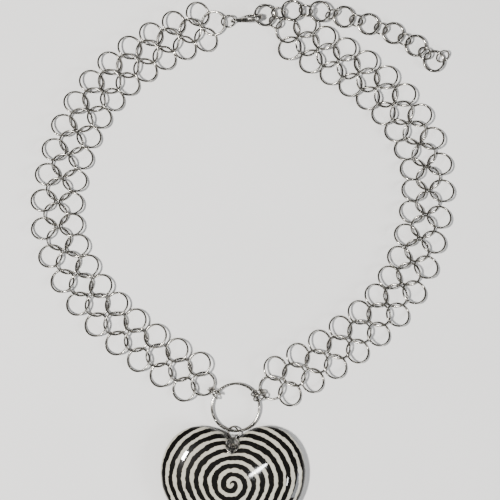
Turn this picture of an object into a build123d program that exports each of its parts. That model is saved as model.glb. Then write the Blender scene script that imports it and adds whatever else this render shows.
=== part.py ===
"""Heart necklace lying on a surface: a collar of ring mail, a centre ring, a puffed heart on a
pinch bail, a lobster clasp and an extender.

Millimetres, +Z up. The origin is the middle of the neck opening, on the surface that the necklace
lies on. The pendant lies toward -Y and the clasp toward +Y.
"""
import math
import os

from build123d import *

os.makedirs("parts", exist_ok=True)

# Mail rings
MAIL_WIRE = 0.8
MAIL_RING = 10.2            # outer diameter
MIDDLE_COUNT = 21           # middle rings in each half, with a pair of edge rings between neighbours
LAY_BACK = 3.6              # how far the rings lie back toward the clasp from even spacing, at most
CLASP_OFFSET = 5.4          # from the band's centreline to the edge rings, at the clasp's end
PENDANT_OFFSET = 5.9        # and at the pendant's end
MIDDLE_LEAN = 22.0          # degrees, with the side toward the clasp raised
EDGE_LEAN = 23.2            # degrees, with the side toward the pendant raised
CLASP_END_LEAN = 10.0       # the first middle ring lies flatter
PENDANT_END_LEAN = 14.0     # and so does the last one

# Centrelines of the two halves, from the clasp to the pendant
LEFT_ROUTE = [(-11.5, 72.8), (-25.6, 67.8), (-42.3, 58.3), (-56.6, 45.5), (-66.8, 28.9), (-72.5, 11.0),
              (-74.2, -9.0), (-67.7, -26.5), (-56.0, -42.2), (-39.5, -56.2), (-15.6, -71.5)]
RIGHT_ROUTE = [(18.2, 69.9), (29.4, 62.6), (45.4, 53.5), (60.2, 41.2), (70.6, 25.8), (74.6, 7.0),
               (71.6, -12.0), (65.3, -30.3), (53.0, -45.5), (35.8, -58.8), (11.6, -73.1)]

# Small jump rings
LINK_WIRE = 0.7
LINK_RING = 6.0             # outer diameter
LINK_LEAN = 45.0            # degrees from upright

# Centre ring
CENTRE_WIRE = 1.0
CENTRE_RING = 20.0          # outer diameter
CENTRE_PLACE = (-2.6, -81.0)
# Its four small rings: degrees about the centre ring from the band's line, and degrees from upright
LEFT_LINKS = [("left_link_upper", -4.0, 0.0), ("left_link_lower", 7.0, -4.0)]
RIGHT_LINKS = [("right_link_upper", 6.0, -18.0), ("right_link_lower", -6.0, -24.0)]

# Extender rings, from the clasp to the tail: place, height of the middle, rise toward -Y, rise toward -X
EXTENDER_WIRE = 1.0
EXTENDER_RING = 9.0         # outer diameter
EXTENDER_ROUTE = [(9.1, 75.9, 2.8, -4.0, 6.5), (19.9, 77.7, 3.4, 11.0, -5.5), (31.0, 77.1, 4.6, 7.0, 2.0),
                  (40.7, 75.3, 2.3, -3.0, 3.5), (50.6, 72.4, 2.1, 0.0, 0.0), (60.5, 68.8, 2.1, 0.0, 0.0),
                  (69.5, 63.8, 2.1, 0.0, 0.0), (76.8, 57.6, 2.1, 0.0, 0.0)]
TAIL_BEARING = 28.0         # degrees from +X, where the tail's small ring hangs on the last ring

# Lobster clasp. It lies on its edge: x runs from the eye to the hook, and y from the lever's side to the spine's
EYE_HOLE = 1.5
EYE_WALL = 0.65
EYE_THICK = 1.0
CLAW_START = 3.6            # from the eye's far side to the outside of the claw's base, middle to middle
CLAW_LENGTH = 8.9
CLAW_WIDTH = 6.8
CLAW_THICK = 2.0
CLAW_WALL = 1.1             # at the hook's end and its sides
CLAW_OPENING = 6.0          # inside length
NECK_WIDTH = 1.6
MOUTH = 3.8                 # the lever's stretch of the claw
MOUTH_START = 0.65          # from the opening's near end
LEVER_GAP = 0.12            # between the lever and the claw
LEVER_THICK = 1.8
TONGUE = 0.45               # the lever's end, which closes behind the hook's tip
TONGUE_REACH = 0.65
PLATE_THICK = 0.7           # the lever's root and thumb piece
SLOT_GAP = 0.1
PIVOT_IN = 0.6              # from the opening's near end back to the pivot
PIVOT_DOWN = 0.75
HUB = 1.7
PIN = 0.7
PIN_GAP = 0.05
THUMB = 0.8
THUMB_OUT = 0.65            # how far it stands out of the spine
CLASP_LINK_GAP = 2.7        # from the mail ring's wire to the eye's wire
CLASP_LINK_LEAN = 50.0
CLASP_BEARING = 7.0         # degrees from +X
CLASP_PITCH = 12.5          # degrees, the hook's end raised
CLASP_ROLL = -70.0          # degrees, the lever's side up
EYE_HEIGHT = 2.2

# Heart, from its middle: half outline from the notch to the tip as shares of half the width and of the height
HEART_X = -3.6
HEART_WIDTH = 57.6
HEART_HEIGHT = 51.2
HEART_THICK = 10.0
HEART_OUTLINE = [(0.0, 0.312), (0.075, 0.352), (0.23, 0.415), (0.50, 0.4414), (0.79, 0.372), (0.955, 0.23),
                 (1.0, 0.07), (0.91, -0.13), (0.68, -0.30), (0.38, -0.46), (0.14, -0.544), (0.0, -0.5586)]
# Sections from the back to the front: share of the thickness, share of the outline
HEART_SECTIONS = [(0.0, 0.45), (0.05, 0.63), (0.12, 0.78), (0.24, 0.91), (0.38, 0.98), (0.48, 1.0), (0.60, 0.98),
                  (0.72, 0.925), (0.82, 0.845), (0.90, 0.735), (0.955, 0.60), (0.985, 0.44), (1.0, 0.20)]
HOLE = 1.5
HOLE_INSET = 2.8            # from the notch to the hole's middle

# Pinch bail
BAIL_BAND = 0.7
BAIL_BAND_WIDTH = 1.8
BAIL_OUT = 2.6              # from the notch to the middle of the band
BAIL_FLOOR_GAP = 0.1
BAIL_PIN = 1.1
BAIL_PIN_DEPTH = 2.2
BAIL_PAD = 2.4
LEAF_LENGTH = 7.2
LEAF_WIDTH = 5.8
LEAF_THICK = 0.8
LEAF_SLOPE = 14.0           # degrees, its tip raised
LEAF_LIFT = 1.1             # over the heart at the hole
PENDANT_LINK_LEAN = 52.0
PENDANT_LINK_GAP = 1.75     # from the centre ring's wire to the bail's band

# What follows from the sizes above
MAIL_R = (MAIL_RING - MAIL_WIRE) / 2
LINK_R = (LINK_RING - LINK_WIRE) / 2
CENTRE_R = (CENTRE_RING - CENTRE_WIRE) / 2
EXTENDER_R = (EXTENDER_RING - EXTENDER_WIRE) / 2
EYE_R = (EYE_HOLE + EYE_WALL) / 2
LINK_HEIGHT = LINK_R * math.cos(math.radians(LINK_LEAN)) + LINK_WIRE / 2
EDGE_HEIGHT = MAIL_R * math.sin(math.radians(EDGE_LEAN)) + MAIL_WIRE / 2


def unit(x, y):
    """The direction (x, y) at length 1."""
    size = math.hypot(x, y)
    return x / size, y / size


def seat(middle, normal):
    """The plane that a ring lies in."""
    return Plane(origin=middle, z_dir=normal)


def leaning(middle, ahead, lean):
    """A ring's plane whose side away from the direction ahead is raised by lean degrees."""
    a = math.radians(lean)
    return seat(middle, (ahead[0] * math.sin(a), ahead[1] * math.sin(a), math.cos(a)))


def wire(plane, radius, thickness):
    """A closed wire ring in a plane."""
    return plane * Torus(radius, thickness / 2)


def rim(plane, radius, toward):
    """The middle of a ring's wire on its side toward a place."""
    way = Vector(toward[0] - plane.origin.X, toward[1] - plane.origin.Y, 0)
    flat = way - plane.z_dir * way.dot(plane.z_dir)
    return plane.origin + flat.normalized() * radius


def link(a, b, lean=LINK_LEAN):
    """The plane of a small ring around two wires, whose nearest points are a and b."""
    middle = (a + b) / 2
    run = (b - a).normalized()
    side = Vector(-run.Y, run.X, 0).normalized()
    top = run.cross(side) * math.cos(math.radians(lean)) + side * math.sin(math.radians(lean))
    normal = run.cross(top)
    low = LINK_R * math.sqrt(1 - normal.Z ** 2) + LINK_WIRE / 2
    return seat((middle.X, middle.Y, max(middle.Z, low)), normal)


def mail_half(route):
    """The planes of one half's rings, with those of its first and last middle rings."""
    line = Spline(*[(x, y, 0) for x, y in route])
    step = line.length / (MIDDLE_COUNT - 1)
    spots = []
    for i in range(MIDDLE_COUNT):
        back = LAY_BACK * math.sin(math.pi * (i / (MIDDLE_COUNT - 1)) ** 1.2)
        spots.append(line.position_at(min(i * step - back, line.length), position_mode=PositionMode.LENGTH))
    middles = []
    edges = []
    for i, spot in enumerate(spots):
        before = spots[max(i - 1, 0)]
        after = spots[min(i + 1, MIDDLE_COUNT - 1)]
        ahead = unit(after.X - before.X, after.Y - before.Y)
        offset = CLASP_OFFSET + (PENDANT_OFFSET - CLASP_OFFSET) * i / (MIDDLE_COUNT - 1)
        share = (step / 2) / math.hypot(step / 2, offset) * MAIL_R
        lean = MIDDLE_LEAN
        height = EDGE_HEIGHT
        if i == 0:
            lean = CLASP_END_LEAN
            height -= share * (math.sin(math.radians(EDGE_LEAN)) - math.sin(math.radians(lean)))
        if i == MIDDLE_COUNT - 1:
            lean = PENDANT_END_LEAN
            height += share * (math.sin(math.radians(EDGE_LEAN)) - math.sin(math.radians(lean)))
        middles.append(leaning((spot.X, spot.Y, height), ahead, lean))
        if i == MIDDLE_COUNT - 1:
            break
        chord = unit(after.X - spot.X, after.Y - spot.Y)
        for side in (offset, -offset):
            place = ((spot.X + after.X) / 2 - side * chord[1], (spot.Y + after.Y) / 2 + side * chord[0], EDGE_HEIGHT)
            edges.append(leaning(place, chord, -EDGE_LEAN))
    return middles + edges, middles[0], middles[-1]


parts = {}
left_planes, left_start, left_end = mail_half(LEFT_ROUTE)
right_planes, right_start, right_end = mail_half(RIGHT_ROUTE)
parts["mail_left"] = Compound(children=[wire(plane, MAIL_R, MAIL_WIRE) for plane in left_planes])
parts["mail_right"] = Compound(children=[wire(plane, MAIL_R, MAIL_WIRE) for plane in right_planes])

# Centre ring, lying on the links that pass under it
centre = seat((*CENTRE_PLACE, LINK_HEIGHT), (0, 0, 1))
parts["centre_ring"] = wire(centre, CENTRE_R, CENTRE_WIRE)


def centre_link(end, turn, lean):
    """The small ring between the centre ring and a band's last ring, turned about the centre ring."""
    way = Vector(end.origin.X - centre.origin.X, end.origin.Y - centre.origin.Y, 0).rotate(Axis.Z, turn)
    near = centre.origin + way.normalized() * CENTRE_R
    return wire(link(near, rim(end, MAIL_R, (near.X, near.Y)), lean), LINK_R, LINK_WIRE)


for end, links in ((left_end, LEFT_LINKS), (right_end, RIGHT_LINKS)):
    for name, turn, lean in links:
        parts[name] = centre_link(end, turn, lean)

# Extender
seats = []
for x, y, z, rise_y, rise_x in EXTENDER_ROUTE:
    seats.append(seat((x, y, z), (math.tan(math.radians(rise_x)), math.tan(math.radians(rise_y)), 1)))
for i, plane in enumerate(seats):
    parts[f"extender_ring_{i + 1}"] = wire(plane, EXTENDER_R, EXTENDER_WIRE)
for i, (a, b) in enumerate(zip(seats, seats[1:])):
    joined = link(rim(a, EXTENDER_R, (b.origin.X, b.origin.Y)), rim(b, EXTENDER_R, (a.origin.X, a.origin.Y)))
    parts[f"extender_link_{i + 1}"] = wire(joined, LINK_R, LINK_WIRE)
first = seats[0]
joined = link(rim(first, EXTENDER_R, (right_start.origin.X, right_start.origin.Y)),
              rim(right_start, MAIL_R, (first.origin.X, first.origin.Y)))
parts["band_link"] = wire(joined, LINK_R, LINK_WIRE)
last = seats[-1]
bearing = Vector(1, 0, 0).rotate(Axis.Z, TAIL_BEARING)
hold = last.origin + bearing * EXTENDER_R
parts["tail_link"] = wire(link(hold - bearing, hold + bearing), LINK_R, LINK_WIRE)

# Clasp, hung on the left half's first ring
way = Vector(1, 0, 0).rotate(Axis.Z, CLASP_BEARING)
held = rim(left_start, MAIL_R, (left_start.origin.X + way.X, left_start.origin.Y + way.Y))
eye = Vector(held.X, held.Y, EYE_HEIGHT) + way * (CLASP_LINK_GAP + EYE_R)
clasp_seat = Plane(Location(eye, (0, 0, CLASP_BEARING)) * Location((0, 0, 0), (0, -CLASP_PITCH, 0))
                   * Location((0, 0, 0), (CLASP_ROLL, 0, 0)))
parts["clasp_link"] = wire(link(held, eye - way * EYE_R, CLASP_LINK_LEAN), LINK_R, LINK_WIRE)

claw_middle = CLAW_START - EYE_R + CLAW_LENGTH / 2
opening_end = CLAW_START - EYE_R + CLAW_LENGTH - CLAW_WALL
opening_middle = opening_end - CLAW_OPENING / 2
opening_start = opening_end - CLAW_OPENING
opening_width = CLAW_WIDTH - 2 * CLAW_WALL
mouth_start = opening_start + MOUTH_START
mouth_end = mouth_start + MOUTH
pivot = (opening_start - PIVOT_IN, -PIVOT_DOWN)
slot = PLATE_THICK + 2 * SLOT_GAP
tip = opening_width / 2 * math.sqrt(1 - ((mouth_end - opening_middle) / (CLAW_OPENING / 2)) ** 2)
reach = math.hypot(mouth_end - pivot[0], tip - PIVOT_DOWN)


def oval(middle, length, width, thick):
    """An upright elliptical cylinder on the clasp's x axis."""
    return extrude(Plane.XY.offset(-thick / 2) * Pos(middle, 0) * Ellipse(length / 2, width / 2), thick)


def block(x0, x1, y0, y1, thick):
    """A box between two x and two y values, with its middle at height 0."""
    return Pos((x0 + x1) / 2, (y0 + y1) / 2) * Box(x1 - x0, y1 - y0, thick)


def plate(points, thick):
    """A flat piece with a chosen outline."""
    return extrude(Plane.XY.offset(-thick / 2) * make_face(Polyline(*points, close=True)), thick)


def disc(place, size, thick):
    """A round piece about a point."""
    return Pos(*place) * Cylinder(size / 2, thick)


claw = oval(claw_middle, CLAW_LENGTH, CLAW_WIDTH, CLAW_THICK)
claw = fillet(claw.edges(), CLAW_THICK * 0.3)
claw -= oval(opening_middle, CLAW_OPENING, opening_width, 2 * CLAW_THICK)
mouth = block(mouth_start, opening_end, -CLAW_WIDTH, 0, 2 * CLAW_THICK) & disc(pivot, 2 * reach, 2 * CLAW_THICK)
body = claw - mouth
eye_rim = disc((0, 0), EYE_HOLE + 2 * EYE_WALL, EYE_THICK)
neck_end = claw_middle - CLAW_LENGTH / 2 + CLAW_WALL / 2
neck = plate([(EYE_R, -NECK_WIDTH / 2), (neck_end, -NECK_WIDTH * 0.9), (neck_end, NECK_WIDTH * 0.9),
              (EYE_R, NECK_WIDTH / 2)], (EYE_THICK + CLAW_THICK) / 2)
body = body + eye_rim + neck - disc((0, 0), EYE_HOLE, 2 * EYE_THICK)
slot_start = pivot[0] - HUB / 2 - 2 * SLOT_GAP
body -= block(slot_start, mouth_start, -CLAW_WIDTH, CLAW_WIDTH, slot)
body += disc(pivot, PIN, CLAW_THICK * 0.9)

arm = claw & block(mouth_start + LEVER_GAP, opening_end, -CLAW_WIDTH, 0, LEVER_THICK)
arm = arm & disc(pivot, 2 * (reach - LEVER_GAP), LEVER_THICK)
inner = oval(opening_middle, CLAW_OPENING - 2 * LEVER_GAP, opening_width - 2 * LEVER_GAP, PLATE_THICK)
inner -= oval(opening_middle, CLAW_OPENING - 2 * (LEVER_GAP + TONGUE), opening_width - 2 * (LEVER_GAP + TONGUE),
              2 * PLATE_THICK)
tongue = inner & block(mouth_start + LEVER_GAP, mouth_end + TONGUE_REACH, -CLAW_WIDTH, 0, PLATE_THICK)
root_end = mouth_start + LEVER_GAP + TONGUE
root = plate([(pivot[0] - HUB / 8, pivot[1] - HUB / 2), (root_end, -CLAW_WIDTH / 2 + CLAW_WALL * 0.6),
              (root_end, -opening_width / 2 + LEVER_GAP + TONGUE), (pivot[0] + HUB / 4, pivot[1] + HUB / 3)], PLATE_THICK)
spine = CLAW_WIDTH / 2 * math.sqrt(1 - ((pivot[0] - claw_middle) / (CLAW_LENGTH / 2)) ** 2)
thumb = block(pivot[0] - THUMB / 4, pivot[0] + THUMB * 3 / 4, pivot[1], spine + THUMB_OUT - THUMB / 2, PLATE_THICK)
thumb += disc((pivot[0] + THUMB / 4, spine + THUMB_OUT - THUMB / 2), THUMB, PLATE_THICK)
lever = arm + tongue + root + disc(pivot, HUB, PLATE_THICK) + thumb - disc(pivot, PIN + 2 * PIN_GAP, 2 * CLAW_THICK)
parts["clasp"] = clasp_seat * body
parts["clasp_lever"] = clasp_seat * lever

# Heart, hung from the centre ring by the bail and a small ring
half = [(x * HEART_WIDTH / 2, y * HEART_HEIGHT) for x, y in HEART_OUTLINE]
outline = half + [(-x, y) for x, y in reversed(half[1:-1])]
notch = half[0][1]
band_y = notch + BAIL_OUT
heart_y = CENTRE_PLACE[1] - CENTRE_R - PENDANT_LINK_GAP - band_y
heart_seat = Location((HEART_X, heart_y, 0))
sections = []
for height, share in HEART_SECTIONS:
    edge = Spline(*[(x * share, y * share) for x, y in outline], periodic=True)
    sections.append(Plane.XY.offset(height * HEART_THICK) * make_face(edge))
heart = loft(sections, ruled=True)
hole_y = notch - HOLE_INSET
heart -= Pos(0, hole_y, HEART_THICK / 2) * Cylinder(HOLE / 2, 2 * HEART_THICK)
parts["heart"] = heart_seat * heart


def front_height(share):
    """The height of the heart's front where a section of this share of the outline passes."""
    front = HEART_SECTIONS[HEART_SECTIONS.index(max(HEART_SECTIONS, key=lambda section: section[1])):]
    for (z0, s0), (z1, s1) in zip(front, front[1:]):
        if s1 <= share:
            return HEART_THICK * (z0 + (z1 - z0) * (s0 - share) / (s0 - s1))
    return HEART_THICK


# Bail: a leaf over the front, a band around the notch and a pad behind, with a pin from each side into the hole
leaf_top = band_y + BAIL_BAND / 2
slope = math.radians(LEAF_SLOPE)
leaf_z = front_height(hole_y / notch) + LEAF_LIFT
leaf_plane = Plane(origin=(0, hole_y, leaf_z), x_dir=(1, 0, 0), z_dir=(0, math.sin(slope), math.cos(slope)))
top = (leaf_top - hole_y) / math.cos(slope)
low = top - LEAF_LENGTH
edge = Spline((0, low), (LEAF_WIDTH * 0.36, low + LEAF_LENGTH * 0.26), (LEAF_WIDTH * 0.5, low + LEAF_LENGTH * 0.58),
              (LEAF_WIDTH * 0.33, low + LEAF_LENGTH * 0.88), (0, top))
leaf_face = make_face([edge, edge.mirror(Plane.YZ)])
leaf = extrude(leaf_plane * leaf_face, LEAF_THICK)
upright_top = leaf_z - (band_y - hole_y) * math.tan(slope) + LEAF_THICK / 2
band = Pos(0, band_y, (BAIL_FLOOR_GAP + upright_top) / 2) * Box(BAIL_BAND_WIDTH, BAIL_BAND, upright_top - BAIL_FLOOR_GAP)
foot = Pos(0, (leaf_top + hole_y) / 2, BAIL_FLOOR_GAP + BAIL_BAND / 2) * Box(BAIL_BAND_WIDTH, leaf_top - hole_y, BAIL_BAND)
pad = Pos(0, hole_y, BAIL_FLOOR_GAP + BAIL_BAND / 2) * Cylinder(BAIL_PAD / 2, BAIL_BAND)
back_pin = Pos(0, hole_y, BAIL_FLOOR_GAP + (BAIL_BAND + BAIL_PIN_DEPTH) / 2) * Cylinder(BAIL_PIN / 2, BAIL_BAND + BAIL_PIN_DEPTH)
front_pin = Pos(0, hole_y, leaf_z - BAIL_PIN_DEPTH / 2) * Cylinder(BAIL_PIN / 2, BAIL_PIN_DEPTH + LEAF_THICK)
bail = leaf + band + foot + pad + back_pin + front_pin
parts["bail"] = heart_seat * bail
loop = Vector(HEART_X, heart_y + band_y, LINK_HEIGHT)
pendant = link(rim(centre, CENTRE_R, (loop.X, loop.Y)), loop, PENDANT_LINK_LEAN)
parts["pendant_link"] = wire(pendant, LINK_R, LINK_WIRE)

for name, part in parts.items():
    export_step(part, f"parts/{name}.step")
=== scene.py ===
"""Looks for the heart necklace: bright wire rings with their saw cuts, a lacquered heart with a painted
spiral, a chased bail and a lobster clasp, on a pale floor and seen from straight above."""
import math
import random
from bisect import bisect_left
from functools import partial

import bpy
from mathutils import Matrix, Quaternion, Vector


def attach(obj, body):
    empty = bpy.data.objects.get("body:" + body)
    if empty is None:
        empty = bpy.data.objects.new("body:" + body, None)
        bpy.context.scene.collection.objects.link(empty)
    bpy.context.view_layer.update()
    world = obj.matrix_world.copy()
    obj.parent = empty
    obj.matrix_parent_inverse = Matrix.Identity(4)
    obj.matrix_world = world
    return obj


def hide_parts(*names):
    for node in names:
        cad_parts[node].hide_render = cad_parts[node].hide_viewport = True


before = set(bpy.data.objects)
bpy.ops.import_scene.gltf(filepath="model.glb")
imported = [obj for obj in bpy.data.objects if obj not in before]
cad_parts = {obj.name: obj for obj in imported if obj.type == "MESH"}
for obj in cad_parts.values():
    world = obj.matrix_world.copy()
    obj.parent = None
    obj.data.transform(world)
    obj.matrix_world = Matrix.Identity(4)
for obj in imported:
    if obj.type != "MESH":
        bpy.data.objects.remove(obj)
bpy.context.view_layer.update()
MM = 0.001
FULL_TURN = 2 * math.pi
ROOT = "necklace"

# The heart in millimetres: its middle on the floor, its height, and the height of its widest section
HEART = Vector((-3.6, -110.82, 0.0))
HEART_TOP = 10.0
PARTING = 4.8
# The bail's leaf: y and z of its foot from the heart's middle, and how far it tips toward the centre ring
LEAF_AT = (13.174, 9.448)
LEAF_TILT = math.radians(14.0)


# Nodes

def material(name):
    """An empty node material with its shader."""
    mat = bpy.data.materials.new(name)
    mat.use_nodes = True
    tree = mat.node_tree
    tree.nodes.clear()
    out = tree.nodes.new("ShaderNodeOutputMaterial")
    shader = tree.nodes.new("ShaderNodeBsdfPrincipled")
    tree.links.new(shader.outputs["BSDF"], out.inputs["Surface"])
    return mat, tree, shader


def put(tree, socket, value):
    """Links a socket to another, or sets its value."""
    if isinstance(value, bpy.types.NodeSocket):
        tree.links.new(value, socket)
    else:
        socket.default_value = value


def maths(tree, what, *values):
    """One sum on numbers."""
    node = tree.nodes.new("ShaderNodeMath")
    node.operation = what
    for socket, value in zip(node.inputs, values):
        put(tree, socket, value)
    return node.outputs[0]


def vectors(tree, what, *values, output="Vector"):
    """One sum on vectors."""
    node = tree.nodes.new("ShaderNodeVectorMath")
    node.operation = what
    for socket, value in zip(node.inputs, values):
        put(tree, socket, value)
    return node.outputs[output]


def noise(tree, vector, scale, detail, rough, distortion=0.0, output="Fac"):
    """Cloudy noise, with its scale per metre."""
    node = tree.nodes.new("ShaderNodeTexNoise")
    put(tree, node.inputs["Vector"], vector)
    node.inputs["Scale"].default_value = scale
    node.inputs["Detail"].default_value = detail
    node.inputs["Roughness"].default_value = rough
    node.inputs["Distortion"].default_value = distortion
    return node.outputs[output]


def span(tree, value, low, high, to_low=0.0, to_high=1.0, smooth=True):
    """Carries a value from one range to another and stops at its ends."""
    node = tree.nodes.new("ShaderNodeMapRange")
    if smooth:
        node.interpolation_type = "SMOOTHSTEP"
    names = ("Value", "From Min", "From Max", "To Min", "To Max")
    for name, item in zip(names, (value, low, high, to_low, to_high)):
        put(tree, node.inputs[name], item)
    return node.outputs["Result"]


def mix(tree, factor, a, b):
    """A colour between two, each given as a socket or as red, green and blue."""
    node = tree.nodes.new("ShaderNodeMix")
    node.data_type = "RGBA"
    put(tree, node.inputs["Factor"], factor)
    for socket, value in ((node.inputs["A"], a), (node.inputs["B"], b)):
        put(tree, socket, value if isinstance(value, bpy.types.NodeSocket) else (*value, 1.0))
    return node.outputs["Result"]


def bump(tree, shader, height, strength, distance):
    """Fine relief, with its depth in metres."""
    node = tree.nodes.new("ShaderNodeBump")
    node.inputs["Strength"].default_value = strength
    node.inputs["Distance"].default_value = distance
    put(tree, node.inputs["Height"], height)
    tree.links.new(node.outputs["Normal"], shader.inputs["Normal"])


def place(tree):
    """Coordinates fixed to the object, in metres."""
    return tree.nodes.new("ShaderNodeTexCoord").outputs["Object"]


# Steel

GRIME_TONE = 0.38           # grime, and the painted shade in carved hollows, as shares of the dark tone
HOLLOW_SHADE = 0.22
METAL_RELIEF = 0.00003


def steel(name, light, dark, rough, grain, scratch, tarnish=0.0, carved_shade=None):
    """Drawn wire or cast metal: cloudy tone, uneven polish, hair scratches and a little grime.
    Carved work gets painted shade where its surface lies low: the way out of it, the base, and two depths."""
    mat, tree, shader = material(name)
    calc = partial(maths, tree)
    where = place(tree)
    cloud = noise(tree, where, grain, 4.0, 0.6)
    tone = mix(tree, span(tree, cloud, 0.35, 0.68), light, dark)
    grime = noise(tree, where, grain * 0.37, 5.0, 0.65, 0.6)
    stain = span(tree, grime, 0.56, 0.74, 0.0, 0.35 + tarnish)
    tone = mix(tree, stain, tone, tuple(c * GRIME_TONE for c in dark))
    # Painted shade: the carved hollows are darkened by how low they lie, not by a light
    if carved_shade:
        way, base, low, high = carved_shade
        depth = vectors(tree, "DOT_PRODUCT", where, way, output="Value")
        lit = span(tree, depth, base + low, base + high)
        tone = mix(tree, lit, tuple(c * HOLLOW_SHADE for c in dark), tone)
    put(tree, shader.inputs["Base Color"], tone)
    shader.inputs["Metallic"].default_value = 1.0
    fine = noise(tree, where, grain * 6.0, 2.0, 0.7)
    polish = span(tree, fine, 0.3, 0.75, rough * 0.75, rough * 1.35)
    dulled = span(tree, grime, 0.55, 0.75, 0.0, 0.16)
    put(tree, shader.inputs["Roughness"], calc("ADD", polish, dulled))
    hair = tree.nodes.new("ShaderNodeTexVoronoi")
    hair.feature = "DISTANCE_TO_EDGE"
    hair.inputs["Scale"].default_value = grain * 2.4
    put(tree, hair.inputs["Vector"], where)
    scratches = span(tree, hair.outputs["Distance"], 0.0, 0.035)
    relief = calc("ADD", calc("MULTIPLY", scratches, 0.25), calc("MULTIPLY", fine, 0.6))
    bump(tree, shader, relief, scratch, METAL_RELIEF)
    return mat


WIRE = steel("steel_wire", (0.29, 0.278, 0.252), (0.155, 0.147, 0.13), rough=0.19, grain=420.0, scratch=0.25)
RING = steel("steel_ring", (0.31, 0.297, 0.27), (0.17, 0.162, 0.145), rough=0.15, grain=260.0, scratch=0.15)
CAST = steel("steel_cast", (0.30, 0.29, 0.267), (0.15, 0.143, 0.13), rough=0.21, grain=620.0, scratch=0.14,
             tarnish=0.1)
LEAF_OUT = (0.0, math.sin(LEAF_TILT), math.cos(LEAF_TILT))
LEAF_BASE = ((HEART.y + LEAF_AT[0]) * LEAF_OUT[1] + LEAF_AT[1] * LEAF_OUT[2]) * MM
# The chased leaf gets painted shade in its low carved hollows
CHASED = steel("steel_chased", (0.36, 0.345, 0.318), (0.17, 0.162, 0.147), rough=0.17, grain=900.0, scratch=0.12,
               tarnish=0.1, carved_shade=(LEAF_OUT, LEAF_BASE, 0.00034, 0.00056))


# The heart's paint and the floor's paper

IVORY = (0.45, 0.431, 0.362)
IVORY_SHADE = (0.39, 0.37, 0.305)
SPECK = (0.25, 0.22, 0.165)
FRINGE = (0.21, 0.185, 0.145)
INK = (0.003, 0.0027, 0.0023)
DRY_INK = (0.020, 0.015, 0.011)
SWAY = 0.0011               # how far the brush strays, in metres
SPIRAL_AT = (HEART.x - 0.4, HEART.y)
SPIRAL_START = 0.55         # how far out the first turn begins, and the way from turn to turn, in millimetres
SPIRAL_PITCH = 3.62
SIDE_RUN = 0.42             # how much further apart the turns lie where the heart's face falls away
# The heart's reach without its notch, from the tip (-90 degrees) to straight up (90)
HEART_REACH = [(-90, 28.6), (-80, 27.4), (-62, 25.4), (-37, 25.1), (-15, 26.7), (2, 28.6), (30, 29.0), (60, 27.6),
               (78, 26.6), (90, 25.4)]
ROUND_REACH = 28.6
FULL_REACH = 32.0
PAPER_LIGHT = (0.79, 0.785, 0.775)
PAPER_SHADE = (0.765, 0.76, 0.75)


def heart_reach(tree, x, y):
    """The heart's reach in the direction of a point, in millimetres."""
    rise = maths(tree, "ARCTAN2", y, maths(tree, "ABSOLUTE", x))
    curve = tree.nodes.new("ShaderNodeFloatCurve")
    put(tree, curve.inputs["Value"], span(tree, rise, -math.pi / 2, math.pi / 2, smooth=False))
    line = curve.mapping.curves[0]
    spots = [((degrees + 90) / 180, reach / FULL_REACH) for degrees, reach in HEART_REACH]
    line.points[0].location = spots[0]
    line.points[1].location = spots[-1]
    for spot in spots[1:-1]:
        line.points.new(*spot)
    curve.mapping.update()
    return maths(tree, "MULTIPLY", curve.outputs["Value"], FULL_REACH)


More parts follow.
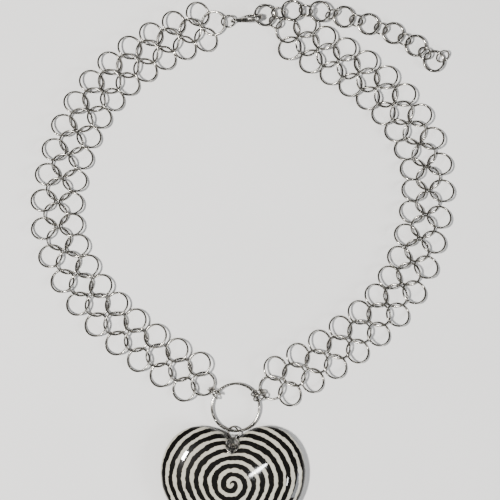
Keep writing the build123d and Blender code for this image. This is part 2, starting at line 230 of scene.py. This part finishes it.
def lacquer():
    """Ivory lacquer with a brushed black spiral that follows the heart, under a clear coat."""
    mat, tree, shader = material("heart_lacquer")
    calc = partial(maths, tree)
    where = place(tree)
    wave = noise(tree, where, 330.0, 2.0, 0.5, output="Color")
    push = vectors(tree, "SUBTRACT", wave, (0.5, 0.5, 0.5))
    split = tree.nodes.new("ShaderNodeSeparateXYZ")
    tree.links.new(vectors(tree, "MULTIPLY_ADD", push, (SWAY, SWAY, 0.0), where), split.inputs[0])
    x = calc("SUBTRACT", split.outputs["X"], SPIRAL_AT[0] * MM)
    y = calc("SUBTRACT", split.outputs["Y"], SPIRAL_AT[1] * MM)
    z = calc("MULTIPLY", split.outputs["Z"], 1000.0)
    radius = calc("SQRT", calc("ADD", calc("MULTIPLY", x, x), calc("MULTIPLY", y, y)))

    # The middle turns are round and the outer ones follow the outline
    heart_like = calc("DIVIDE", ROUND_REACH, heart_reach(tree, x, y))
    share = span(tree, radius, 0.003, 0.017)
    factor = calc("ADD", calc("MULTIPLY", calc("SUBTRACT", heart_like, 1.0), share), 1.0)
    across = calc("MULTIPLY", calc("MULTIPLY", radius, 1000.0), factor)
    deep = calc("SUBTRACT", HEART_TOP - PARTING, calc("ABSOLUTE", calc("SUBTRACT", z, PARTING)))
    along = calc("ADD", across, calc("MULTIPLY", calc("MAXIMUM", deep, 0.0), SIDE_RUN))
    turns = calc("DIVIDE", calc("SUBTRACT", along, SPIRAL_START), SPIRAL_PITCH)
    clock = calc("DIVIDE", calc("ARCTAN2", x, y), FULL_TURN)
    phase = calc("ADD", calc("SUBTRACT", turns, clock), 0.5)
    off = calc("ABSOLUTE", calc("SUBTRACT", calc("FRACT", calc("ADD", phase, 20.0)), 0.5))

    # The stroke's half width swells and thins, and its edge is ragged
    thick = noise(tree, where, 210.0, 2.0, 0.55)
    rag = noise(tree, where, 760.0, 1.6, 0.5)
    half = calc("ADD", span(tree, thick, 0.32, 0.68, 0.262, 0.342), span(tree, rag, 0.3, 0.7, -0.022, 0.022))
    edge = calc("SUBTRACT", half, off)
    begun = span(tree, turns, 0.02, 0.10)
    stroke = calc("MULTIPLY", span(tree, edge, -0.006, 0.022), begun)

    cloud = noise(tree, where, 140.0, 4.0, 0.6)
    ivory = mix(tree, span(tree, cloud, 0.35, 0.7), IVORY, IVORY_SHADE)
    speck = noise(tree, where, 2600.0, 2.0, 0.6)
    ivory = mix(tree, span(tree, speck, 0.64, 0.74, 0.0, 0.35), ivory, SPECK)
    dry = noise(tree, where, 620.0, 4.0, 0.7)
    ink = mix(tree, span(tree, dry, 0.58, 0.76), INK, DRY_INK)
    paint = mix(tree, span(tree, edge, -0.035, -0.004, 0.0, 0.35), ivory, FRINGE)
    put(tree, shader.inputs["Base Color"], mix(tree, stroke, paint, ink))
    put(tree, shader.inputs["Roughness"], span(tree, dry, 0.3, 0.7, 0.26, 0.40))
    shader.inputs["Specular IOR Level"].default_value = 0.02
    shader.inputs["Coat Weight"].default_value = 0.8
    shader.inputs["Coat Roughness"].default_value = 0.035
    shader.inputs["Coat IOR"].default_value = 1.4
    peel = noise(tree, where, 420.0, 2.0, 0.4)
    relief = calc("ADD", calc("MULTIPLY", stroke, 0.55), calc("MULTIPLY", peel, 0.5))
    bump(tree, shader, relief, 0.10, 0.00008)
    return mat


def paper():
    """Pale matt floor with a faint tooth."""
    mat, tree, shader = material("pale_floor")
    where = place(tree)
    cloud = noise(tree, where, 9.0, 3.0, 0.5)
    put(tree, shader.inputs["Base Color"], mix(tree, span(tree, cloud, 0.35, 0.7), PAPER_LIGHT, PAPER_SHADE))
    tooth = noise(tree, where, 1800.0, 3.0, 0.6)
    put(tree, shader.inputs["Roughness"], span(tree, tooth, 0.3, 0.7, 0.72, 0.85))
    shader.inputs["Specular IOR Level"].default_value = 0.25
    bump(tree, shader, tooth, 0.15, 0.00005)
    return mat


# Meshes

def add_mesh(name, verts, faces, mat):
    """A mesh object in metres from points in millimetres."""
    mesh = bpy.data.meshes.new(name)
    mesh.from_pydata([tuple(c * MM for c in v) for v in verts], [], faces)
    mesh.validate()
    mesh.materials.append(mat)
    thing = bpy.data.objects.new(name, mesh)
    bpy.context.scene.collection.objects.link(thing)
    return thing


def add_piece(node, name, verts, faces, mat):
    """A smooth piece that stands for a CAD node."""
    thing = add_mesh(name, verts, faces, mat)
    thing.data.polygons.foreach_set("use_smooth", [True] * len(thing.data.polygons))
    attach(thing, ROOT)
    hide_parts(node)


def skin(faces, first, rows, count):
    """Faces between neighbouring closed rows of points."""
    for k in range(rows - 1):
        a = first + k * count
        for i in range(count):
            j = (i + 1) % count
            faces.append((a + i, a + j, a + count + j, a + count + i))


def tube(verts, faces, rows):
    """Closed rows of points with a flat face at each end."""
    first = len(verts)
    count = len(rows[0])
    for row in rows:
        verts.extend(row)
    skin(faces, first, len(rows), count)
    faces.append(tuple(first + i for i in reversed(range(count))))
    faces.append(tuple(len(verts) - count + i for i in range(count)))


def shell(verts, faces, start, rows, end):
    """Closed rows of points that close on a single point at each end."""
    first = len(verts)
    count = len(rows[0])
    verts.append(start)
    for row in rows:
        verts.extend(row)
    verts.append(end)
    skin(faces, first + 1, len(rows), count)
    tip = len(verts) - 1
    for i in range(count):
        j = (i + 1) % count
        faces.append((first, first + 1 + j, first + 1 + i))
        faces.append((tip, tip - count + i, tip - count + j))


def smooth_line(points, count):
    """Points along a smooth curve through the given ones."""
    line = []
    pieces = len(points) - 1
    for n in range(count + 1):
        where = n / count * pieces
        i = min(int(where), pieces - 1)
        t = where - i
        spot = []
        for a, b, c, d in zip(points[max(i - 1, 0)], points[i], points[i + 1], points[min(i + 2, pieces)]):
            square = 2 * a - 5 * b + 4 * c - d
            cube = 3 * b - a - 3 * c + d
            spot.append(0.5 * (2 * b + (c - a) * t + square * t * t + cube * t ** 3))
        line.append(tuple(spot))
    return line


def smoothstep(low, high, value):
    t = min(max((value - low) / (high - low), 0.0), 1.0)
    return t * t * (3 - 2 * t)


# Rings

WIRE_SHARE = 0.985          # of the solid's wire, so that the step stays inside its box
MOST_STEP = 0.04            # between a ring's two ends, and the angle over which it fades
STEP_FADE = 0.7
RIM = 0.06                  # length over which an end is rounded off
RIM_SHAPE = [(0.0, 0.80), (0.35, 0.95), (1.0, 1.0)]
TINY = 1e-6                 # added to a ring's spread of points, so that it always has an inverse
# Node, finish, seed, steps around the ring, points around its wire, width of the saw cut
RINGS = [("mail_left", WIRE, 3, 52, 12, 0.06), ("mail_right", WIRE, 8, 52, 12, 0.06),
         ("centre_ring", RING, 9, 128, 20, 0.05)]
RINGS += [(f"extender_ring_{n}", RING, 20 + n, 72, 16, 0.05) for n in range(1, 9)]
LINKS = ["left_link_upper", "left_link_lower", "right_link_upper", "right_link_lower", "pendant_link", "clasp_link",
         "band_link", "tail_link"] + [f"extender_link_{n}" for n in range(1, 8)]
RINGS += [(node, WIRE, 40 + n, 48, 14, 0.06) for n, node in enumerate(LINKS)]


def loose_clouds(mesh):
    """The points of each loose solid of a mesh, in millimetres and without doubles."""
    keys = [tuple(round(c, 4) for c in v.co / MM) for v in mesh.vertices]
    parent = list(range(len(keys)))

    def root(i):
        while parent[i] != i:
            parent[i] = parent[parent[i]]
            i = parent[i]
        return i

    seen = {}
    for i, key in enumerate(keys):
        parent[root(i)] = root(seen.setdefault(key, i))
    for a, b in mesh.edge_keys:
        parent[root(a)] = root(b)
    groups = {}
    for i, key in enumerate(keys):
        groups.setdefault(root(i), set()).add(key)
    return [[Vector(key) for key in group] for group in groups.values()]


def measure_ring(cloud):
    """A ring's centre, normal, middle radius and wire radius, from the points of its surface."""
    low = Vector([min(p[k] for p in cloud) for k in range(3)])
    high = Vector([max(p[k] for p in cloud) for k in range(3)])
    middle = (low + high) / 2
    spread = Matrix(((0, 0, 0), (0, 0, 0), (0, 0, 0)))
    for p in cloud:
        d = p - middle
        for i in range(3):
            for j in range(3):
                spread[i][j] += d[i] * d[j]
    # The normal is the way in which the points spread least
    inverse = (spread + Matrix.Identity(3) * TINY).inverted()
    normal = Vector((0.1, 0.2, 1.0))
    for _ in range(60):
        normal = (inverse @ normal).normalized()
    if normal.z < 0:
        normal = -normal
    flat = [((p - middle) - normal * (p - middle).dot(normal)).length for p in cloud]
    return middle, normal, (max(flat) + min(flat)) / 2, (max(flat) - min(flat)) / 2


def wire_rows(ring, chance, around, section, cut):
    """Sections of a cut ring of round wire: its ends nearly meet, with a slight step and softened rims."""
    middle, normal, radius, thick = ring
    side = normal.orthogonal().normalized()
    side.rotate(Matrix.Rotation(chance.uniform(0, FULL_TURN), 3, normal))
    other = normal.cross(side)
    step = chance.uniform(0.0, MOST_STEP)
    thick *= WIRE_SHARE
    start = cut / 2 / radius
    last = FULL_TURN - start
    rim = RIM / radius
    stops = [(start + rim * share, size) for share, size in RIM_SHAPE]
    stops += [(start + rim + (last - start - 2 * rim) * i / around, 1.0) for i in range(1, around)]
    stops += [(last - rim * share, size) for share, size in reversed(RIM_SHAPE)]
    turns = [FULL_TURN * k / section for k in range(section)]
    rows = []
    for angle, size in stops:
        out = side * math.cos(angle) + other * math.sin(angle)
        ease = max(0.0, 1.0 - min(angle, FULL_TURN - angle) / STEP_FADE)
        lift = step * ease * ease if angle < math.pi else 0.0
        spot = middle + out * radius + normal * lift
        rows.append([spot + (out * math.cos(turn) + normal * math.sin(turn)) * thick * size for turn in turns])
    return rows


def make_rings(node, mat, seed, around, section, cut):
    """The rings of a node, drawn anew in its place."""
    chance = random.Random(seed)
    verts = []
    faces = []
    rings = [measure_ring(cloud) for cloud in loose_clouds(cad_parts[node].data)]
    rings.sort(key=lambda ring: (round(ring[0].x, 2), round(ring[0].y, 2)))
    for ring in rings:
        tube(verts, faces, wire_rows(ring, chance, around, section, cut))
    add_piece(node, node + "_wire", verts, faces, mat)


for row in RINGS:
    make_rings(*row)


# Heart

# Sections from the back to the front: height, share of the outline
PROFILE = [(0.0, 0.0), (0.0, 0.30), (0.12, 0.45), (0.5, 0.63), (1.2, 0.78), (2.4, 0.91), (3.8, 0.98), (PARTING, 1.0),
           (6.0, 0.98), (7.2, 0.925), (8.2, 0.845), (9.0, 0.735), (9.55, 0.60), (9.85, 0.44), (9.97, 0.24),
           (HEART_TOP, 0.0)]
HEART_ROWS = 90
HEART_AROUND = 180
NEAR_PARTING = 0.02
NOTCH_REACH = 24.0          # up to where the notch is filled in the small sections
NOTCH_TURN = (0.25, 0.75)   # angles from straight up between which that filling ends
NOTCH_SHARE = (0.15, 0.86)  # shares of the outline between which the notch comes in


def heart_outline():
    """The heart's reach from its middle in each direction, from the widest section of its solid."""
    found = {}
    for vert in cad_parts["heart"].data.vertices:
        p = vert.co / MM
        if abs(p.z - PARTING) < NEAR_PARTING:
            angle = math.atan2(p.y - HEART.y, p.x - HEART.x)
            found[round(angle, 5)] = math.hypot(p.x - HEART.x, p.y - HEART.y)
    angles = sorted(found)

    def reach(angle):
        angle = (angle + math.pi) % FULL_TURN - math.pi
        i = bisect_left(angles, angle)
        before = angles[i - 1]
        after = angles[i % len(angles)]
        low = before - (FULL_TURN if i == 0 else 0.0)
        high = after + (FULL_TURN if i == len(angles) else 0.0)
        share = (angle - low) / (high - low)
        return found[before] * (1 - share) + found[after] * share

    return reach


def make_heart():
    """The puffed heart, whose notch fades toward the middle of its front and back."""
    reach = heart_outline()
    angles = [math.pi / 2 + FULL_TURN * i / HEART_AROUND for i in range(HEART_AROUND)]
    outer = [reach(a) for a in angles]
    filled = []
    for a, r in zip(angles, outer):
        blend = smoothstep(*NOTCH_TURN, abs((a + math.pi / 2) % FULL_TURN - math.pi))
        filled.append(max(r, NOTCH_REACH * (1 - blend) + r * blend))
    rows = []
    for z, share in smooth_line(PROFILE, HEART_ROWS)[1:-1]:
        share = min(share, 1.0)
        z = min(max(z, 0.0), HEART_TOP)
        notch = smoothstep(*NOTCH_SHARE, share)
        sizes = [(r * notch + f * (1 - notch)) * share for r, f in zip(outer, filled)]
        rows.append([(HEART.x + size * math.cos(a), HEART.y + size * math.sin(a), z) for a, size in zip(angles, sizes)])
    verts = []
    faces = []
    shell(verts, faces, (HEART.x, HEART.y, 0.0), rows, (HEART.x, HEART.y, HEART_TOP))
    add_piece("heart", "heart_lacquered", verts, faces, lacquer())


make_heart()


# Bail, in millimetres from the heart's middle: y toward the centre ring, z up

# Half the leaf's edge (x, and v down the leaf), its middle, and how it leans to one side toward its top
LEAF_EDGE = [(0.0, -1.27), (0.95, -0.62), (2.02, 0.55), (2.72, 1.85), (2.86, 3.0), (2.40, 4.15), (1.55, 4.98),
             (0.0, 5.35)]
LEAF_MIDDLE = 2.55
LEAF_SKEW = 0.07
SKEW_FROM = 5.3
LEAF_ROWS = 64
LEAF_BACK = [(1.0, 0.20), (0.985, 0.07), (0.95, 0.0), (0.5, 0.0)]
# Petals from the bud outward: radius, number, turn; then their lowest height and the rise to a lip
ROSE = [(0.50, 2, 0.4), (1.15, 3, 1.3), (2.10, 5, 0.2)]
ROSE_LOW = 0.32
ROSE_RISE = 0.42
ROSE_FLAT = 0.92
PETAL_WAVE = 0.11
PETAL_CURVE = 1.7
LIP_FALL = 0.12
# The leaf around the rose: waved ground, its crown, and a bead near the edge (share, half width, height)
GROUND = (0.42, 0.12, 7)
GROUND_SLOPE = 3.5
CROWN = 0.12
BEAD = (0.93, 0.065, 0.27)
LEAF_RIM = 0.34
# The strip's line (y, z) from the leaf over the notch to the foot
BAND_LINE = [(16.9, 8.93), (17.5, 8.79), (18.1, 8.62), (18.46, 8.30), (18.57, 7.7), (18.57, 5.9), (18.57, 4.0),
             (18.57, 2.0), (18.55, 1.15), (18.38, 0.66), (17.9, 0.47), (17.0, 0.45), (15.2, 0.45), (13.2, 0.45)]
BAND_ROWS = 90
BAND_TAPER = (0.80, 10)     # its width where it leaves the leaf, and the rows over which it widens
# Half the strip's section, from its inside face to its outside one
BAND_EDGE = [(0.0, -0.33), (0.62, -0.33), (0.84, -0.25), (0.90, -0.06), (0.90, 0.14), (0.83, 0.30), (0.68, 0.35),
             (0.50, 0.30), (0.38, 0.12), (0.28, 0.04), (0.0, 0.02)]
# Turned pieces in the heart's hole (radius, height) and the points around them: the pad behind and the two pins
TURNED = [([(0, 0.1), (0.95, 0.1), (1.14, 0.18), (1.2, 0.4), (1.12, 0.66), (0.85, 0.78), (0, 0.8)], 32),
          ([(0, 0.5), (0.55, 0.5), (0.55, 2.7), (0.42, 2.92), (0.2, 3.0), (0, 3.0)], 24),
          ([(0, 6.85), (0.2, 6.85), (0.42, 6.93), (0.55, 7.15), (0.55, 9.6), (0, 9.6)], 24)]


def rose(x, v, share):
    """The height of the leaf's chased front: petals around a small bud, inside a raised rim."""
    d = math.hypot(x, (v - LEAF_MIDDLE) * ROSE_FLAT)
    turn = math.atan2(v - LEAF_MIDDLE, x)
    inner = 0.0
    for radius, petals, shift in ROSE:
        lip = radius * (1 + PETAL_WAVE * math.cos(petals * (turn - shift)))
        if d < lip:
            fall = 1 - (d - inner) / LIP_FALL if inner else 0
            height = ROSE_LOW + ROSE_RISE * max(((d - inner) / (lip - inner)) ** PETAL_CURVE, fall)
            break
        inner = lip
    else:
        level, wave, waves = GROUND
        height = max(level + wave * math.cos(waves * turn), ROSE_LOW + ROSE_RISE - (d - inner) * GROUND_SLOPE)
    height -= CROWN * share * share
    at, half, rise = BEAD
    bead = (share - at) / half
    if abs(bead) < 1:
        height = max(height, LEAF_RIM + rise * math.sqrt(1 - bead * bead))
    elif bead >= 1:
        height = LEAF_RIM
    return height


def leaf_point(x, v, w):
    """A point of the leaf: across it, down it, and out of it."""
    return (HEART.x + x - LEAF_SKEW * (SKEW_FROM - v),
            HEART.y + LEAF_AT[0] + v * math.cos(LEAF_TILT) + w * math.sin(LEAF_TILT),
            LEAF_AT[1] - v * math.sin(LEAF_TILT) + w * math.cos(LEAF_TILT))


def add_leaf(verts, faces):
    half = smooth_line(LEAF_EDGE, 70)
    loop = half + [(-x, v) for x, v in reversed(half[1:-1])]
    rows = []
    for k in range(1, LEAF_ROWS + 1):
        share = k / LEAF_ROWS
        spots = [(x * share, LEAF_MIDDLE + (v - LEAF_MIDDLE) * share) for x, v in loop]
        rows.append([leaf_point(x, v, rose(x, v, share)) for x, v in spots])
    for share, w in LEAF_BACK:
        rows.append([leaf_point(x * share, LEAF_MIDDLE + (v - LEAF_MIDDLE) * share, w) for x, v in loop])
    front = leaf_point(0, LEAF_MIDDLE, rose(0, LEAF_MIDDLE, 0))
    shell(verts, faces, front, rows, leaf_point(0, LEAF_MIDDLE, 0.0))


def add_band(verts, faces):
    """The strip from the leaf round the notch to the foot behind, with two raised edges."""
    section = BAND_EDGE + [(-x, t) for x, t in reversed(BAND_EDGE[1:-1])]
    path = smooth_line(BAND_LINE, BAND_ROWS)
    narrow, over = BAND_TAPER
    rows = []
    for i, (y, z) in enumerate(path):
        before = path[max(i - 1, 0)]
        after = path[min(i + 1, len(path) - 1)]
        run = Vector((after[0] - before[0], after[1] - before[1])).normalized()
        taper = narrow + (1 - narrow) * smoothstep(0, over, i)
        rows.append([(HEART.x + x * taper, HEART.y + y - run.y * t, z + run.x * t) for x, t in section])
    tube(verts, faces, rows)


def make_bail():
    verts = []
    faces = []
    add_leaf(verts, faces)
    add_band(verts, faces)
    middle = (HEART.x, HEART.y + LEAF_AT[0])
    for profile, count in TURNED:
        turns = [FULL_TURN * i / count for i in range(count)]
        rows = [[(middle[0] + radius * math.cos(a), middle[1] + radius * math.sin(a), z) for a in turns]
                for radius, z in profile[1:-1]]
        shell(verts, faces, (*middle, profile[0][1]), rows, (*middle, profile[-1][1]))
    add_piece("bail", "bail_chased", verts, faces, CHASED)


make_bail()

# Clasp: the solids have their shape, so they get softened edges and a cast finish
for node in ("clasp", "clasp_lever"):
    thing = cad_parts[node]
    thing.data.materials.clear()
    thing.data.materials.append(CAST)
    join = thing.modifiers.new("joined_faces", "WELD")
    join.merge_threshold = 0.002 * MM
    soft = thing.modifiers.new("soft_edges", "BEVEL")
    soft.width = 0.09 * MM
    soft.segments = 2
    soft.limit_method = "ANGLE"
    soft.angle_limit = math.radians(35)


# Floor, lights and camera

FLOOR_REACH = 2500
corners = [(-FLOOR_REACH, -FLOOR_REACH, 0), (FLOOR_REACH, -FLOOR_REACH, 0), (FLOOR_REACH, FLOOR_REACH, 0),
           (-FLOOR_REACH, FLOOR_REACH, 0)]
floor = add_mesh("floor", corners, [(0, 1, 2, 3)], paper())


def lamp(name, spot, aim, wide, tall, power, tint=(1.0, 1.0, 1.0), turn=0.0, shape="RECTANGLE"):
    """A soft light in millimetres, aimed at a place and turned about its own line."""
    data = bpy.data.lights.new(name, "AREA")
    data.shape = shape
    data.size = wide * MM
    data.size_y = tall * MM
    data.energy = power
    data.color = tint
    thing = bpy.data.objects.new(name, data)
    thing.location = Vector(spot) * MM
    way = (Vector(aim) - Vector(spot)).normalized()
    thing.rotation_mode = "QUATERNION"
    thing.rotation_quaternion = way.to_track_quat("-Z", "Y") @ Quaternion((0, 0, 1), math.radians(turn))
    bpy.context.scene.collection.objects.link(thing)


lamp("key", (-360, -40, 900), (0, -20, 0), 110, 60, 19.0, (1.0, 0.98, 0.95), turn=-30)
lamp("fill", (700, -330, 420), (0, -40, 0), 420, 300, 5.0, (0.95, 0.97, 1.0))
# Two thin lamps that the heart's coat mirrors as tapering streaks
lamp("streak", (68, -200, 900), (4, -105, 5), 118, 12, 1.0, shape="ELLIPSE")
lamp("side_streak", (444, -307, 900), (19, -113, 5), 90, 24, 0.8, turn=20, shape="ELLIPSE")
world = bpy.data.worlds.new("studio")
world.use_nodes = True
backdrop = world.node_tree.nodes["Background"]
backdrop.inputs["Color"].default_value = (0.82, 0.84, 0.87, 1.0)
backdrop.inputs["Strength"].default_value = 0.17
bpy.context.scene.world = world

view = bpy.data.cameras.new("camera")
view.lens = 108.0
view.sensor_width = 36.0
view.clip_start = 0.01
view.clip_end = 10.0
camera = bpy.data.objects.new("camera", view)
camera.location = (0.0032, -0.018, 0.6025)
bpy.context.scene.collection.objects.link(camera)
bpy.context.scene.camera = camera
